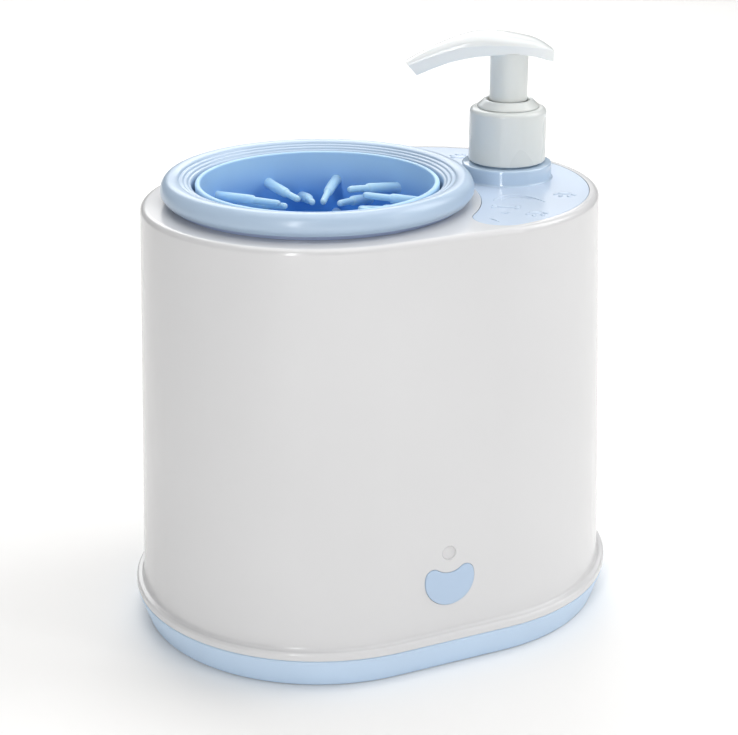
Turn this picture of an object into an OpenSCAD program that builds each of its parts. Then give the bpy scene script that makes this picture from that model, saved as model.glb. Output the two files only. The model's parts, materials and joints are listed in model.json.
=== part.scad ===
// Paw washer: a motor-driven brush cup and a lotion-pump soap tank side by side
// in one drafted housing. Units are millimetres, +Z up, the origin is on the
// floor at the middle of the footprint, +X towards the soap pump, -Y the front.

/* [Housing] */
// Half width of the stadium plan at the deck
deck_r = 73; // [72:0.5:75]
// Distance from the middle to each end centre
end_x = 25; // [24.5:0.5:26]
// Height of the deck above the floor
deck_z = 184.4; // [184:0.1:186]
// How much wider each side is at the floor than at the deck
draft = 6.7; // [5.5:0.1:7.5]
// Wall thickness of the outer housing
wall = 2.6; // [2.2:0.1:3]
// How far the bottom flange stands out of the wall
flange_out = 3.3; // [2:0.1:4]
// Radius of the rounded deck edge
edge_r = 2.6; // [1.5:0.1:3]

/* [Base] */
// Height of the seam between the base tray and the housing
seam_z = 13.3; // [12.5:0.1:14]
// How far the base tapers in towards the floor
base_in = 4.9; // [3:0.1:6]

/* [Cup and brush] */
// Distance of the cup axis from the middle, towards -X
cup_x = 25; // [24.5:0.5:26]
// Outer radius of the splash ring
ring_r = 64.6; // [63.5:0.1:65]
// Height of the splash ring's crest
ring_z = 196; // [194.5:0.1:197]
// Inner radius of the brush sleeve
sleeve_r = 48.2; // [47:0.1:48.6]
// Height of the brush sleeve's rim
sleeve_z = 192.6; // [191:0.1:193]
// Number of bristles in each row
row_n = 10; // [6:1:12]
// Number of bristle rows
rows = 10; // [3:1:11]
// Length of a bristle
bristle_l = 30; // [20:1:31]

/* [Soap pump] */
// Distance of the pump axis from the middle, towards +X
pump_x = 64; // [63:0.5:65]
// Outer radius of the screw collar
collar_r = 16.5; // [16:0.1:17]
// Direction the nozzle points, counted from +X
nozzle_a = 160; // [150:1:175]
// Stroke of the pump head
stroke = 12; // [8:1:12]

/* [Drive] */
// Gear module
gear_m = 1; // [0.98:0.01:1]
// Motor can radius
motor_r = 13.8; // [12:0.1:14.5]

/* [Hidden] */
$fn = 72;
white = "white";
blue = "lightsteelblue";
slope = draft / deck_z;                      // wall lean, per mm of height
tilt = atan(slope);
function wall_r(z) = deck_r + slope * (deck_z - z);
flange_r = wall_r(15) + flange_out;
deck_t = 2.6;
// gear train
teeth_drive = 48; teeth_small = 12; teeth_big = 40; teeth_pinion = 12;
idler_x = -cup_x + gear_m * (teeth_drive + teeth_small) / 2;
motor_x = idler_x + gear_m * (teeth_big + teeth_pinion) / 2;

// ---------- helpers ----------
// Turns a wall profile (radius, height) into a closed stadium ring or slab.
module stadium(pts) {
    translate([end_x, 0, 0]) rotate([0, 0, -90]) rotate_extrude(angle = 180, $fn = 144) polygon(pts);
    translate([-end_x, 0, 0]) rotate([0, 0, 90]) rotate_extrude(angle = 180, $fn = 144) polygon(pts);
    for (s = [0, 1]) mirror([0, s, 0])
        translate([-end_x, 0, 0]) rotate([90, 0, 90]) linear_extrude(2 * end_x) polygon(pts);
}
module rev(pts, x = 0, y = 0) { translate([x, y, 0]) rotate_extrude($fn = 96) polygon(pts); }
module tube(r1, r0, z0, z1, x = 0, y = 0) {
    translate([x, y, z0]) difference() {
        cylinder(r = r1, h = z1 - z0);
        translate([0, 0, -1]) cylinder(r = r0, h = z1 - z0 + 2);
    }
}
function arc(cx, cy, r, a0, a1, n) = [for (i = [0:n]) let (a = a0 + (a1 - a0) * i / n) [cx + r * cos(a), cy + r * sin(a)]];
// Outline of the soap tank's flush top, grown by g.
pr = 69; pc = 67.6; pf = 12;
pcx = (pow(pc + pf, 2) - pow(pr - pf, 2)) / 4 / end_x * 1;
pcy = -sqrt(pow(pr - pf, 2) - pow(pcx - end_x, 2));
pa1 = atan2(pcy, pcx - end_x);
pa2 = atan2(pcy, pcx + cup_x);
function panel_pts(g = 0) = concat(
    arc(end_x, 0, pr + g, pa1, -pa1, 64),
    arc(pcx, -pcy, pf + g, -pa1, 180 - pa2, 12),
    arc(-cup_x, 0, pc - g, -pa2, pa2, 40),
    arc(pcx, pcy, pf + g, pa2 - 180, pa1, 12));
module panel(g, z0, z1) { translate([0, 0, z0]) linear_extrude(z1 - z0) polygon(panel_pts(g)); }
// Involute gear outline.
function inv(rb, r) = let (a = acos(min(1, rb / r))) tan(a) * 180 / PI - a;
function gear_pts(n, m, phase, slack = 0.13) = let (rp = n * m / 2, rb = rp * cos(20), rt = rp + 0.9 * m,
    rr = rp - 1.25 * m, hb = 90 / n - slack / rp * 180 / PI + inv(rb, rp), r0 = max(rb, rr))
    [for (k = [0:n - 1]) let (c = phase + 360 * k / n, ths = [for (i = [0:4]) let (r = r0 + (rt - r0) * i / 4) [r, hb - inv(rb, r)]])
        for (p = concat([[rr, -(hb - inv(rb, r0)) * (rb > rr ? 0.72 : 1)]], [for (t = ths) [t[0], -t[1]]],
            [for (i = [4:-1:0]) ths[i]], [[rr, (hb - inv(rb, r0)) * (rb > rr ? 0.72 : 1)]]))
            [p[0] * cos(c + p[1]), p[0] * sin(c + p[1])]];
module gear(n, z0, z1, phase, bore) {
    translate([0, 0, z0]) difference() {
        linear_extrude(z1 - z0) polygon(gear_pts(n, gear_m, phase));
        translate([0, 0, -1]) cylinder(r = bore, h = z1 - z0 + 2);
    }
}
// Round tube swept along points.
function unit(v) = v / norm(v);
function tang(p, i) = unit(p[min(i + 1, len(p) - 1)] - p[max(i - 1, 0)]);
function side(t) = unit(cross(t, abs(t[2]) > 0.9 ? [0, 1, 0] : [0, 0, 1]));
function bez(a, n) = [for (k = [0:len(a) - 2]) for (i = [0:n - 1]) let (t = i / n,
    p0 = a[max(k - 1, 0)], p1 = a[k], p2 = a[k + 1], p3 = a[min(k + 2, len(a) - 1)])
    0.5 * ((2 * p1) + (p2 - p0) * t + (2 * p0 - 5 * p1 + 4 * p2 - p3) * t * t + (3 * p1 - p0 - 3 * p2 + p3) * t * t * t)];
module sweep(p, r, k = 8, up = false) {
    n = len(p);
    polyhedron(
        points = [for (i = [0:n - 1]) let (t = tang(p, i), u = up ? unit([p[i][0], p[i][1], 0]) : side(t), v = cross(t, u))
            for (j = [0:k - 1]) p[i] + r * (cos(360 * j / k) * u + sin(360 * j / k) * v)],
        faces = concat([[for (j = [0:k - 1]) j]],
            [for (i = [0:n - 2]) for (j = [0:k - 1]) let (a = i * k + j, b = i * k + (j + 1) % k) [a, a + k, b + k]],
            [for (i = [0:n - 2]) for (j = [0:k - 1]) let (a = i * k + j, b = i * k + (j + 1) % k) [a, b + k, b]],
            [[for (j = [k - 1:-1:0]) (n - 1) * k + j]]));
}
module screws(at, z0, l, r = 1.4, head = 2.6) {
    for (p = at) translate([p[0], p[1], 0]) rotate_extrude($fn = 32)
        polygon([[0, z0], [head, z0], [head, z0 + 2], [r, z0 + 2], [r, z0 + l - 1], [0.3, z0 + l], [0, z0 + l]]);
}
// Plan positions
posts = [[end_x, 71.5], [end_x, -71.5], [-end_x, 71.5], [-end_x, -71.5], [end_x + 71.5, 0], [-end_x - 71.5, 0]];
feet_at = [[68, 44], [68, -44], [-68, 44], [-68, -44]];
legs = [[-45, 26], [-45, -26], [45, 22], [45, -22]];
well_at = [for (a = [90, 150, 210, 270]) [-cup_x + 61.7 * cos(a), 61.7 * sin(a)]];
// Front control positions: x and height on the wall
btn = [-1.9, 40]; led_z = 51.7; led_x = -1.9;
// Places its children on the front wall: x stays, y becomes height along the
// leaning wall from z, and z points out of the wall.
module on_front(x, z, out = 0) {
    translate([x, -wall_r(z), z]) rotate([90 - tilt, 0, 0]) translate([0, 0, out]) children();
}
// Kidney outline of the button: a disc with a bite concentric with the lamp
// window, and rounded lobes. Drawn about the button's own centre.
btn_r = 11.3; bite_r = 8.7; lobe_r = 3.6;
bite_d = led_z - btn[1];
lobe_y = (pow(btn_r - lobe_r, 2) - pow(bite_r + lobe_r, 2) + bite_d * bite_d) / (2 * bite_d);
lobe_x = sqrt(pow(btn_r - lobe_r, 2) - lobe_y * lobe_y);
la = atan2(lobe_y, lobe_x);
lb = atan2(bite_d - lobe_y, lobe_x);
function button_pts(g = 0) = concat(
    arc(0, 0, btn_r + g, 180 - la, 360 + la, 48),
    arc(lobe_x, lobe_y, lobe_r + g, la, 180 - lb, 12),
    arc(0, bite_d, bite_r - g, -lb, lb - 180, 20),
    arc(-lobe_x, lobe_y, lobe_r + g, lb, 180 - la, 12));
module button_outline(g = 0) { polygon(button_pts(g)); }

// ---------- casing ----------
module outer_housing() {
    color(white) difference() {
        union() {
            stadium([[flange_r - 0.5, seam_z + 0.05], [flange_r, seam_z + 0.5], [flange_r, 16.4], [flange_r - 0.6, 17],
                [wall_r(17) + 0.6, 17.1], [wall_r(17.8), 17.9], [wall_r(deck_z - edge_r), deck_z - edge_r],
                [deck_r - 0.2 - edge_r * (1 - cos(30)), deck_z - edge_r * (1 - sin(30))],
                [deck_r - 0.2 - edge_r * (1 - cos(60)), deck_z - edge_r * (1 - sin(60))],
                [deck_r - 0.2 - edge_r, deck_z], [0, deck_z], [0, deck_z - deck_t],
                [deck_r - wall, deck_z - deck_t], [wall_r(seam_z) - wall, seam_z + 0.05]]);
            // ledge under the flush tank top
            panel(1.2, 179.4, deck_z - deck_t + 0.5);
            // screw posts
            for (p = posts) translate([p[0], p[1], seam_z + 0.05]) cylinder(r = 4.6, h = 30);
            // pad behind the charging port
            translate([-14, wall_r(30) - 6, 20]) cube([28, 4.5, 20]);
        }
        translate([-cup_x, 0, 170]) cylinder(r = 58.6, h = 30);
        panel(0.3, 181.95, 200);
        panel(-2.2, 170, 200);
        for (p = posts) translate([p[0], p[1], 0]) cylinder(r = 1.5, h = 40, $fn = 24);
        on_front(btn[0], btn[1], -8) linear_extrude(12) button_outline(0.25);
        on_front(led_x, led_z, -8) cylinder(r = 3.35, h = 12);
        on_front(led_x, led_z, -0.5) cylinder(r = 4.2, h = 4);
        // charging port recess and slot
        translate([-8.6, 76.9, 22.2]) cube([17.2, 6, 15]);
        translate([-5.2, 60, 27.2]) cube([10.4, 20, 5]);
        translate([-9.6, 77.75, 23.6]) rotate([0, 90, 0]) cylinder(r = 0.85, h = 19.2, $fn = 24);
        translate([-8.6, 77.75, 23.6]) rotate([0, 90, 0]) cylinder(r = 1.55, h = 17.2, $fn = 32);
        for (p = well_at) translate([p[0], p[1], 180]) cylinder(r = 1.2, h = 3.3, $fn = 24);
    }
}
module base_tray() {
    color(blue) difference() {
        union() {
            stadium([[0, 1], [flange_r - base_in - 1, 1], [flange_r - base_in + 0.1, 2], [flange_r - 0.15, seam_z - 0.6],
                [flange_r - 0.6, seam_z], [flange_r - 3.2, seam_z], [flange_r - base_in - 2.6, 3.6], [0, 3.6]]);
            for (p = posts) translate([p[0], p[1], 3.5]) cylinder(r = 4.6, h = seam_z - 3.5);
            for (p = legs) translate([p[0], p[1], 3.5]) cylinder(r = 5.5, h = 6.5);
        }
        for (p = posts) translate([p[0], p[1], -1]) { cylinder(r = 1.6, h = 20, $fn = 24); cylinder(r = 3.1, h = 5.2, $fn = 32); }
        for (p = legs) translate([p[0], p[1], -1]) { cylinder(r = 1.6, h = 20, $fn = 24); cylinder(r = 3.1, h = 5.2, $fn = 32); }
        for (p = feet_at) translate([p[0], p[1], 0]) cylinder(r = 8.1, h = 2.4);
    }
}
module rubber_feet() { color("dimgray") for (p = feet_at) rev([[0, 0], [7.2, 0], [7.8, 0.6], [7.8, 2.4], [0, 2.4]], p[0], p[1]); }
module base_screws() { color("silver") screws(posts, 2.1, 20); }
module chassis_screws() { color("silver") screws(legs, 2.1, 14); }

// ---------- wash cup and brush ----------
module cup_well() {
    color("gainsboro") difference() {
        union() {
            rev([[0, 60], [59.4, 60], [59.4, 179.2], [63.6, 179.2], [63.6, 181.7], [57.2, 181.7], [57.2, 62.4], [0, 62.4]], -cup_x);
            translate([-cup_x, 0, 60]) cylinder(r = 9, h = 3.2);
        }
        translate([-cup_x, 0, 50]) cylinder(r = 6, h = 30);
        for (p = well_at) translate([p[0], p[1], 170]) cylinder(r = 1.2, h = 20, $fn = 24);
    }
}
module well_screws() { color("silver") for (p = well_at) translate([p[0], p[1], 0]) rotate_extrude($fn = 32)
    polygon([[0, 177.1], [1.7, 177.1], [1.7, 179.1], [1.1, 179.1], [1.1, 183.1], [0, 183.1]]); }
module wash_cup() {
    color("lightsteelblue") difference() {
        rev([[6, 72], [54, 72], [54, 65], [56, 65], [56, 184.5], [60, 184.5], [60, 186.5], [53.8, 186.5], [53.8, 74.4], [6, 74.4]], -cup_x);
        // finger notches in the rim
        for (a = [40, 140]) translate([-cup_x, 0, 0]) rotate([0, 0, a]) translate([62.5, 0, 180]) cylinder(r = 5, h = 20);
    }
}
module cup_bush() { color("goldenrod") rev([[3.05, 71], [5.95, 71], [5.95, 75.4], [8, 75.4], [8, 76.4], [3.05, 76.4]], -cup_x); }
module cup_seal() { color("dimgray") rev([[3.02, 76.5], [7, 76.5], [7, 78.2], [5, 78.2], [3.6, 77.4], [3.02, 78.6]], -cup_x); }
module cup_shaft() { color("silver") translate([-cup_x, 0, 66.2]) cylinder(r = 3, h = 19.8, $fn = 48); }
module driven_dog() {
    color("lightgray") translate([-cup_x, 0, 0]) {
        tube(6, 3, 67, 70.8);
        for (a = [0, 120, 240]) rotate([0, 0, a]) translate([5.5, -1.8, 65.6]) cube([4, 3.6, 5.2]);
    }
}
module brush_hub() {
    color(blue) translate([-cup_x, 0, 0]) {
        difference() {
            union() { translate([0, 0, 79.2]) cylinder(r = 17, h = 3.3); translate([-7, -7, 82.4]) cube([14, 14, 5]); }
            translate([0, 0, 70]) cylinder(r = 3, h = 16, $fn = 48);
        }
    }
}
module brush_sleeve() {
    color(blue) difference() {
        rev([[0, 82.8], [46.4, 82.8], [sleeve_r + 1.6, 86], [sleeve_r + 1.6, sleeve_z - 6], [sleeve_r + 2.2, sleeve_z - 5.4],
            [sleeve_r + 2.2, sleeve_z - 0.8], [sleeve_r + 1.5, sleeve_z], [sleeve_r + 0.5, sleeve_z], [sleeve_r, sleeve_z - 0.5],
            [sleeve_r, 87], [46, 85], [0, 85]], -cup_x);
        translate([-cup_x - 7.3, -7.3, 80]) cube([14.6, 14.6, 20]);
        for (c = [[24, 8], [38, 12]]) for (k = [0:c[1] - 1])
            translate([-cup_x, 0, 80]) rotate([0, 0, 360 / c[1] * k]) translate([c[0], 0, 0]) cylinder(r = 1.8, h = 10, $fn = 24);
    }
}
module bristle() {
    rotate([0, 90, 0]) rotate_extrude($fn = 20)
        polygon([[0, 0], [2.1, 0], [2.05, 0.62 * bristle_l], [1.3, 0.62 * bristle_l + 0.6], [1.2, bristle_l - 0.7], [0.7, bristle_l], [0, bristle_l]]);
}
module brush_bristles() {
    color("lightskyblue") for (r = [0:rows - 1]) for (k = [0:row_n - 1])
        translate([-cup_x, 0, 180 - 7.5 * r]) rotate([0, 0, 21 + 360 / row_n * (k + (r % 2) / 2)])
            translate([sleeve_r + 0.3, 0, 0]) rotate([0, (r % 2 == 0 ? 0 : -6), 180]) bristle();
}
module splash_ring() {
    color(blue) rev(concat(
        [[51.8, 181], [53.2, 180.4], [53.5, 181], [53.5, 186.6], [62.4, 186.6], [62.6, 187.6], [63.6, 187.3], [64.1, 187.5]],
        [for (a = [-25:12.5:90]) [60.6 + (ring_r - 60.6) * cos(a), 190.2 + (ring_z - 190.2) * sin(a)]],
        [[58.6, ring_z - 0.05], [56.7, ring_z - 0.35], [56.1, ring_z - 1.0], [55.2, ring_z - 1.15], [54.4, ring_z - 1.7],
         [53.2, ring_z - 1.95], [52.1, ring_z - 2.7], [51.8, ring_z - 3.6]]), -cup_x);
}
module ring_gasket() { color("dimgray") tube(53.75, 53.5, 182.4, 184.2, -cup_x); }

// ---------- drive ----------
module drive_chassis() {
    color("gainsboro") difference() {
        union() {
            translate([-58, -32, 43.6]) cube([110, 64, 2.6]);
            for (p = legs) translate([p[0], p[1], 10]) cylinder(r = 4.5, h = 34);
            translate([-cup_x, 0, 38]) cylinder(r = 8, h = 7);
        }
        for (p = legs) translate([p[0], p[1], 5]) cylinder(r = 1.5, h = 25, $fn = 24);
        translate([-cup_x, 0, 30]) cylinder(r = 5, h = 30);
        translate([idler_x, 0, 30]) cylinder(r = 1.5, h = 30, $fn = 32);
        translate([motor_x, 0, 30]) cylinder(r = 5.2, h = 30);
        for (s = [-1, 1]) translate([motor_x, s * 8.5, 30]) cylinder(r = 1.4, h = 30, $fn = 24);
    }
}
module motor() {
    color("silver") difference() {
        rev([[0, 8], [5, 8], [5, 6.4], [6, 6.4], [6, 8], [motor_r - 1, 8], [motor_r, 9], [motor_r, 42.4], [motor_r - 1, 43.5], [5, 43.5],
            [5, 45.4], [1.55, 45.4], [1.55, 30], [0, 30]], motor_x);
        for (s = [-1, 1]) translate([motor_x, s * 8.5, 37]) cylinder(r = 1.15, h = 10, $fn = 24);
    }
}
module motor_screws() { color("dimgray") for (s = [-1, 1]) translate([motor_x, s * 8.5, 0]) rotate_extrude($fn = 32)
    polygon([[0, 38.5], [1.1, 38.5], [1.1, 46.3], [2, 46.3], [2, 47], [0, 47]]); }
module motor_pinion() {
    color("goldenrod") translate([motor_x, 0, 0]) { gear(teeth_pinion, 47.4, 51.1, 15, 1.2); translate([0, 0, 31]) cylinder(r = 1.5, h = 20.1, $fn = 32); }
}
module idler_axle() { color("silver") translate([idler_x, 0, 43.6]) cylinder(r = 1.5, h = 13.6, $fn = 32); }
module idler_gear() {
    color("ivory") translate([idler_x, 0, 0]) difference() {
        union() { gear(teeth_big, 47.6, 50.8, 0, 2); gear(teeth_small, 50.7, 55.4, 15, 2); translate([0, 0, 47.2]) cylinder(r = 3.4, h = 8); }
        translate([0, 0, 40]) cylinder(r = 1.55, h = 20, $fn = 32);
    }
}
module drive_gear() {
    color("ivory") translate([-cup_x, 0, 0]) difference() {
        union() { gear(teeth_drive, 51.4, 55, 0, 3); tube(7, 3, 48.6, 56.4); }
        translate([0, 0, 45]) cylinder(r = 3, h = 20, $fn = 48);
    }
}
module drive_shaft() { color("silver") translate([-cup_x, 0, 38.4]) cylinder(r = 3, h = 27.2, $fn = 48); }
module drive_dog() {
    color("lightgray") translate([-cup_x, 0, 0]) {
        tube(11.5, 3, 63.6, 65.2);
        for (a = [30, 90, 150, 210, 270, 330]) rotate([0, 0, a]) translate([7, -1.6, 65]) cube([4.2, 3.2, 4]);
    }
}
module lower_bush() { color("goldenrod") rev([[3.05, 38.2], [4.95, 38.2], [4.95, 46.4], [7, 46.4], [7, 47.4], [3.05, 47.4]], -cup_x); }
module upper_bush() { color("goldenrod") rev([[3.05, 58.6], [7.4, 58.6], [7.4, 59.9], [5.95, 59.9], [5.95, 61.6], [3.05, 61.6]], -cup_x); }
module shaft_seal() { color("dimgray") rev([[3.02, 61.7], [5.95, 61.7], [5.95, 63.1], [4.2, 63.1], [3.5, 62.6], [3.02, 63.3]], -cup_x); }
module gear_cover() {
    color("gainsboro") difference() {
        union() { translate([-54, -29, 46.3]) cube([96, 58, 11.5]); }
        translate([-52, -27, 46]) cube([92, 54, 10.3]);
        translate([-cup_x, 0, 40]) cylinder(r = 8, h = 30);
        translate([idler_x, 0, 40]) cylinder(r = 1.55, h = 17, $fn = 32);
    }
}

// ---------- electrics ----------
module battery_pack() {
    color("steelblue") for (x = [-80, -61]) translate([x, 0, 13.6]) rotate([90, 0, 0]) translate([0, 0, -32.5]) cylinder(r = 9.1, h = 65);
}
module battery_strap() {
    color("gainsboro") difference() {
        translate([-91, -7, 3.6]) cube([41, 14, 21.2]);
        for (x = [-80, -61]) translate([x, 20, 13.6]) rotate([90, 0, 0]) cylinder(r = 9.3, h = 40);
        translate([-80, -20, 3]) cube([19, 40, 19.8]);
        translate([-80 - 9.3, -20, 3]) cube([37.6, 40, 10.6]);
    }
}
module circuit_board() {
    color("seagreen") difference() {
        translate([-19, -66.4, 24]) cube([38, 1.6, 33]);
        for (x = [-16.5, 16.5]) for (z = [27, 54]) translate([x, -60, z]) rotate([90, 0, 0]) cylinder(r = 1.5, h = 10, $fn = 24);
    }
}
module tact_switch() {
    color("dimgray") difference() {
        translate([btn[0] - 3, -70, btn[1] - 3]) cube([6, 3.6, 6]);
        translate([btn[0], -66.5, btn[1]]) rotate([90, 0, 0]) cylinder(r = 1.9, h = 8, $fn = 32);
    }
}
module led_lamp() { color("lightcyan") translate([led_x, -66.4, led_z]) rotate([90, 0, 0]) { cylinder(r = 2.5, h = 5, $fn = 32); cylinder(r = 2.9, h = 1, $fn = 32); } }
module led_lens() { color("whitesmoke") on_front(led_x, led_z, 0) { translate([0, 0, -3]) cylinder(r = 3.2, h = 2.6, $fn = 48); translate([0, 0, -0.45]) cylinder(r = 2.6, h = 0.35, $fn = 48); } }
module charging_socket() {
    color("silver") difference() {
        union() { translate([-4.6, 64, 27.9]) cube([9.2, 9.4, 3.6]); translate([-9, 60, 26.2]) cube([18, 12.5, 1.6]); }
        translate([-4, 66, 28.4]) cube([8, 9, 2.6]);
    }
}
module cover_pin() { color("silver") translate([-9.5, 77.75, 23.6]) rotate([0, 90, 0]) cylinder(r = 0.8, h = 19, $fn = 24); }
module port_cover() {
    color("whitesmoke") difference() {
        union() {
            translate([-8.3, 77.05, 24.2]) cube([16.6, 1.25, 12.6]);
            translate([-8.3, 77.75, 23.6]) rotate([0, 90, 0]) difference() { cylinder(r = 0.84 + 0.35, h = 16.6, $fn = 24); }
            translate([-3.8, 75.4, 28.5]) cube([7.6, 1.8, 2.4]);
        }
        translate([-10, 77.75, 23.6]) rotate([0, 90, 0]) cylinder(r = 0.85, h = 20, $fn = 24);
    }
}
module motor_leads() {
    color("firebrick") sweep(bez([[motor_x, -9, 7.2], [motor_x, -16, 6.6], [24, -30, 6], [18, -48, 8], [16, -60, 18], [15, -62.4, 30], [15, -63.6, 34]], 5), 0.9);
}
module battery_leads() {
    color("firebrick") sweep(bez([[-61, -33.2, 13.6], [-60.5, -38, 13], [-52, -48, 9], [-34, -54, 9], [-18, -60, 18], [-14, -62.4, 32], [-14, -63.6, 36]], 5), 0.9);
}
module power_button() {
    color(blue) on_front(btn[0], btn[1]) {
        difference() {
            union() { translate([0, 0, -4]) linear_extrude(4.5) button_outline(0); translate([0, 0, 0.4]) linear_extrude(0.3) button_outline(-0.9); }
            translate([0, 0, -5]) linear_extrude(3.4) button_outline(-1.5);
        }
        translate([0, 0, -6.2]) cylinder(r = 1.6, h = 5, $fn = 32);
    }
}
module switch_plunger() { color("white") translate([btn[0], -70.1, btn[1]]) rotate([90, 0, 0]) { translate([0, 0, -1.3]) cylinder(r = 1.7, h = 2.9, $fn = 32); } }

// ---------- soap tank ----------
module tank_body() {
    color("azure") difference() {
        union() { panel(-2.9, 62, 176); panel(-3.6, 176, 181.9); }
        panel(-5.4, 64, 190);
    }
}
module dome_mark(x, y, r, h = 0.5) { translate([x, y, deck_z - 0.1]) cylinder(r = r, h = h + 0.1, $fn = 24); }
module paw_mark(x, y, a, k = 1) {
    translate([x, y, 0]) rotate([0, 0, a]) scale([k, k, 1]) {
        dome_mark(0, 0, 2.1);
        for (t = [-60, -20, 20, 60]) dome_mark(3.6 * sin(t), 3.6 * cos(t), 0.95);
    }
}
module tank_top() {
    color(blue) difference() {
        union() {
            panel(0, 182, deck_z);
            panel(-5.6, 178, 182.1);
            rev([[0, 178], [19.3, 184], [19.3, 190.4], [18.7, 191], [13.8, 191], [13.8, 211], [13.4, 211.5], [0, 211.5]], pump_x);
            paw_mark(84, -23, 150);
            paw_mark(57, -52, 190);
            paw_mark(50, 52, -10);
            // bone
            translate([0, 0, deck_z - 0.1]) linear_extrude(0.6) {
                translate([34, -54]) square([10, 2.4], center = true);
                for (s = [-1, 1]) for (t = [-1, 1]) translate([34 + s * 5.4, -54 + t * 1.3]) circle(r = 1.6, $fn = 24);
            }
        }
        translate([pump_x, 0, 170]) cylinder(r = 11, h = 50);
        panel(-7.4, 170, 180);
    }
}

// ---------- lotion pump ----------
module pump_cylinder() {
    color("whitesmoke") rev([[2.1, 142], [3.9, 142], [3.9, 150], [7.2, 154], [7.2, 194.2], [10.4, 196.4], [10.4, 212.7], [13.6, 212.7], [13.6, 213.6],
        [8.9, 213.6], [8.9, 197.4], [5.8, 195], [5.8, 154.8], [3.4, 152.4], [2.1, 150.6]], pump_x);
}
module pump_chaplet() {
    color("white") rev([[8.45, 213.7], [10.2, 213.7], [10.2, 215.5], [13.3, 215.5], [13.1, 216.2], [10.2, 219.1], [9.7, 219.4], [8.75, 219.4], [8.45, 219]], pump_x);
}
module neck_gasket() { color("whitesmoke") tube(13.6, 10.6, 211.6, 212.6, pump_x); }
module inlet_ball() { color("silver") translate([pump_x, 0, 153.6]) sphere(r = 2.4, $fn = 32); }
module dip_tube() { color("azure") tube(2.1, 1.3, 67, 150.4, pump_x); }
spring_n = 8;
module pump_spring() {
    color("silver") translate([pump_x, 0, 0]) sweep([for (i = [0:spring_n * 14]) let (a = i * 360 / 14) [4.5 * cos(a), 4.5 * sin(a), 157 + 26 * i / (spring_n * 14)]], 0.5, 6, true);
}
module pump_collar() {
    color("whitesmoke") difference() {
        rev([[14.3, 191.9], [collar_r - 0.3, 191.9], [collar_r, 192.3], [collar_r - 0.15, 213], [collar_r - 0.5, 214.4], [collar_r - 1.4, 215.2], [collar_r - 2.4, 215.3],
            [10.7, 215.3], [10.7, 213.8], [14.3, 213.8]], pump_x);
    }
}
module piston() { color("white") rev([[3.05, 184.2], [5.6, 184.2], [5.75, 185], [5.3, 186.6], [5.75, 188.6], [5.4, 189.2], [3.05, 189.2]], pump_x); }
module pump_stem() { color("white") tube(3, 1.7, 185, 236, pump_x); }
// Pump head: sections along the nozzle, each [s, half width, edge z, ridge z, bottom z]
head_s = [[-19, 4.2, 238.7, 239.1, 234], [-15, 6.4, 240.2, 241.7, 235.5], [-10, 8, 241.1, 244.1, 237.2], [-5, 8.9, 241.7, 245.4, 238.1],
    [0, 9.3, 242.2, 246.4, 238.3], [5, 9.2, 242.5, 247.1, 238.4], [10, 8.7, 242.6, 247.4, 238.3], [15, 7.9, 242.2, 246.9, 237.8],
    [20, 7.1, 241.6, 245.8, 236.9], [25, 6.2, 240.4, 244.2, 235.7], [30, 5.4, 238.8, 242.2, 234], [34, 4.8, 237.4, 240.5, 232.3],
    [37.5, 4.4, 236.1, 238.8, 230.5], [44.4, 3.7, 233.4, 234.9, 229.4]];
head_k = 12;
function head_pt(c, j, last) = let (w = c[1], t = j < 2 ? (j == 0 ? -0.78 : 0.78) * w : w * cos(180 * (j - 2) / (head_k - 3)),
    z = j < 2 ? c[4] : c[2] + (c[3] - c[2]) * sin(180 * (j - 2) / (head_k - 3))) [c[0] - (last ? (c[3] - z) * 0.96 : 0), t, z];
module pump_head() {
    n = len(head_s); k = head_k;
    color("white") translate([pump_x, 0, 0]) rotate([0, 0, nozzle_a])
        polyhedron(points = concat([for (i = [0:n - 1]) for (j = [0:k - 1]) head_pt(head_s[i], j, i == n - 1)],
                [[head_s[0][0], 0, 236.6], [head_s[n - 1][0] - 2.64, 0, 232.15]]),
            faces = concat([for (j = [0:k - 1]) [n * k, (j + 1) % k, j]],
                [for (i = [0:n - 2]) for (j = [0:k - 1]) let (a = i * k + j, b = i * k + (j + 1) % k) [a, b, b + k]],
                [for (i = [0:n - 2]) for (j = [0:k - 1]) let (a = i * k + j, b = i * k + (j + 1) % k) [a, b + k, a + k]],
                [for (j = [0:k - 1]) [n * k + 1, (n - 1) * k + j, (n - 1) * k + (j + 1) % k]]));
}
module pump_skirt() {
    color("white") rev([[6.5, 217.8], [8.05, 217.8], [8.05, 238.4], [3.05, 238.4], [3.05, 224], [4.6, 224], [4.6, 236.6], [6.5, 236.6]], pump_x);
}

outer_housing();
base_tray();
rubber_feet();
base_screws();
cup_well();
well_screws();
drive_chassis();
chassis_screws();
motor();
motor_screws();
gear_cover();
idler_axle();
lower_bush();
upper_bush();
shaft_seal();
battery_pack();
battery_strap();
circuit_board();
tact_switch();
led_lamp();
led_lens();
charging_socket();
cover_pin();
motor_leads();
battery_leads();
motor_pinion();
idler_gear();
drive_gear();
drive_shaft();
drive_dog();
wash_cup();
cup_bush();
cup_seal();
cup_shaft();
driven_dog();
brush_hub();
brush_sleeve();
brush_bristles();
splash_ring();
ring_gasket();
tank_body();
tank_top();
pump_cylinder();
pump_chaplet();
neck_gasket();
inlet_ball();
dip_tube();
pump_spring();
pump_collar();
piston();
pump_stem();
pump_skirt();
pump_head();
power_button();
switch_plunger();
port_cover();
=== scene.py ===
import bpy, bmesh, json, math, random
import numpy as np
from mathutils import Vector, Matrix, noise


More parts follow.
